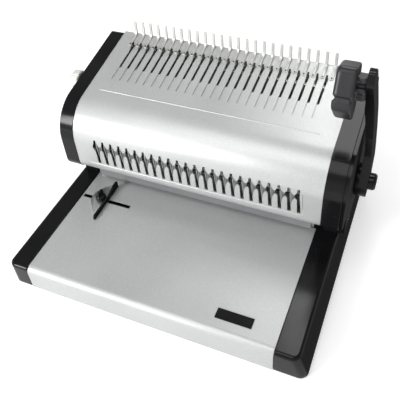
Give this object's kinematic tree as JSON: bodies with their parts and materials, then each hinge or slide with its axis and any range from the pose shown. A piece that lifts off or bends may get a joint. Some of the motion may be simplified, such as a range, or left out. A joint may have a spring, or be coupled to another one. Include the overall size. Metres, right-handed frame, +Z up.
{
  "type": "manual comb binding machine",
  "caption": "Desk binding machine with a paper tray, a slotted silver head, a side punch handle and a rack that opens plastic combs.",
  "frame": {"origin": "under the middle of the machine's overall box, on the table", "axes": "+X to the handle side, along the machine's longest extent; +Y to the rear; +Z up"},
  "size_m": [0.506, 0.405, 0.3409],
  "materials": {
    "silver_sheet": "satin silver paint",
    "black_plastic": "fine grained moulding",
    "grip_plastic": "soft touch",
    "white_plastic": "moulded",
    "grey_plastic": "moulded",
    "rubber": "moulded",
    "steel_plate": "ground",
    "zinc_steel": "zinc plated",
    "tool_steel": "hardened and ground",
    "dark_steel": "blackened",
    "light_steel": "bright nickel",
    "spring_steel": "oiled wire",
    "bronze": "turned",
    "plate_black": "bare plate",
    "screw_black": "blackened"
  },
  "bodies": {
    "base": {"base_pan": "steel_plate", "tray_plate": "silver_sheet", "left_rail": "black_plastic", "right_rail": "black_plastic", "rubber_feet": "rubber", "left_side_frame": "zinc_steel", "right_side_frame": "zinc_steel", "head_cover": "silver_sheet", "left_cap": "black_plastic", "right_cap": "black_plastic", "rear_panel": "silver_sheet", "slot_backing": "silver_sheet", "comb_tines": "light_steel", "tine_rivets": "dark_steel", "rake_rails": "zinc_steel", "shaft_bushes": "bronze", "tie_rods": "zinc_steel", "die_plate": "tool_steel", "stripper_plate": "tool_steel", "die_spacers": "tool_steel", "depth_stop": "zinc_steel", "throat_guard": "silver_sheet", "guide_rods": "tool_steel", "rod_brackets": "zinc_steel", "return_springs": "spring_steel", "drawer_runners": "grey_plastic", "knob_boss": "black_plastic", "bare_plate": "plate_black", "cap_screws": "screw_black", "rear_screws": "screw_black", "pan_screws": "zinc_steel"},
    "handle": {"main_shaft": "tool_steel", "left_crank": "zinc_steel", "right_crank": "zinc_steel", "handle_arm": "black_plastic", "pivot_washer": "black_plastic", "pivot_cap": "black_plastic", "handle_grip": "grip_plastic"},
    "punch": {"punch_bar": "zinc_steel", "rod_bushes": "bronze", "punch_pins": "tool_steel", "punch_yokes": "zinc_steel"},
    "rake": {"rake_bar": "zinc_steel", "rake_hooks": "dark_steel", "rake_arms": "zinc_steel"},
    "opening_stop": {"stop_knob": "white_plastic", "knob_shaft": "zinc_steel", "stop_cam": "zinc_steel"},
    "drawer": {"chip_drawer": "grey_plastic", "drawer_front": "black_plastic"},
    "guide": {"guide_plate": "zinc_steel", "guide_wall": "black_plastic", "guide_nut": "zinc_steel"},
    "guide_screw": {"guide_knob": "black_plastic"}
  },
  "joints": [
    {"name": "handle_pull", "type": "hinge", "parent": "base", "child": "handle", "pos_m": [0.218, 0.0695, 0.121], "axis": [1, 0, 0], "range_deg": [0, 80], "stiffness_Nm_per_rad": 1.5, "springref_deg": -34.38},
    {"name": "punch_stroke", "type": "slide", "parent": "base", "child": "punch", "axis": [0, 0, -1], "range_m": [0, 0.01424], "deforming": ["return_springs"]},
    {"name": "rake_travel", "type": "slide", "parent": "base", "child": "rake", "axis": [0, -0.9833, -0.1822], "range_m": [0, 0.03095]},
    {"name": "opening_knob", "type": "hinge", "parent": "base", "child": "opening_stop", "pos_m": [-0.232, 0.0725, 0.1985], "axis": [1, 0, 0], "range_deg": [-135, 135]},
    {"name": "guide_slide", "type": "slide", "parent": "base", "child": "guide", "axis": [1, 0, 0], "range_m": [-0.018, 0.049]},
    {"name": "guide_clamp", "type": "hinge", "parent": "guide", "child": "guide_screw", "pos_m": [-0.169, -0.0375, 0.05], "axis": [0, 0, 1], "range_deg": [-90, 90]},
    {"name": "drawer_slide", "type": "slide", "parent": "base", "child": "drawer", "axis": [0, 1, 0], "range_m": [0, 0.15]}
  ],
  "couplings": [
    {"joint": "punch_stroke", "follows": "handle_pull", "m_per_rad": 0.010128},
    {"joint": "rake_travel", "follows": "handle_pull", "m_per_rad": 0.022097}
  ]
}
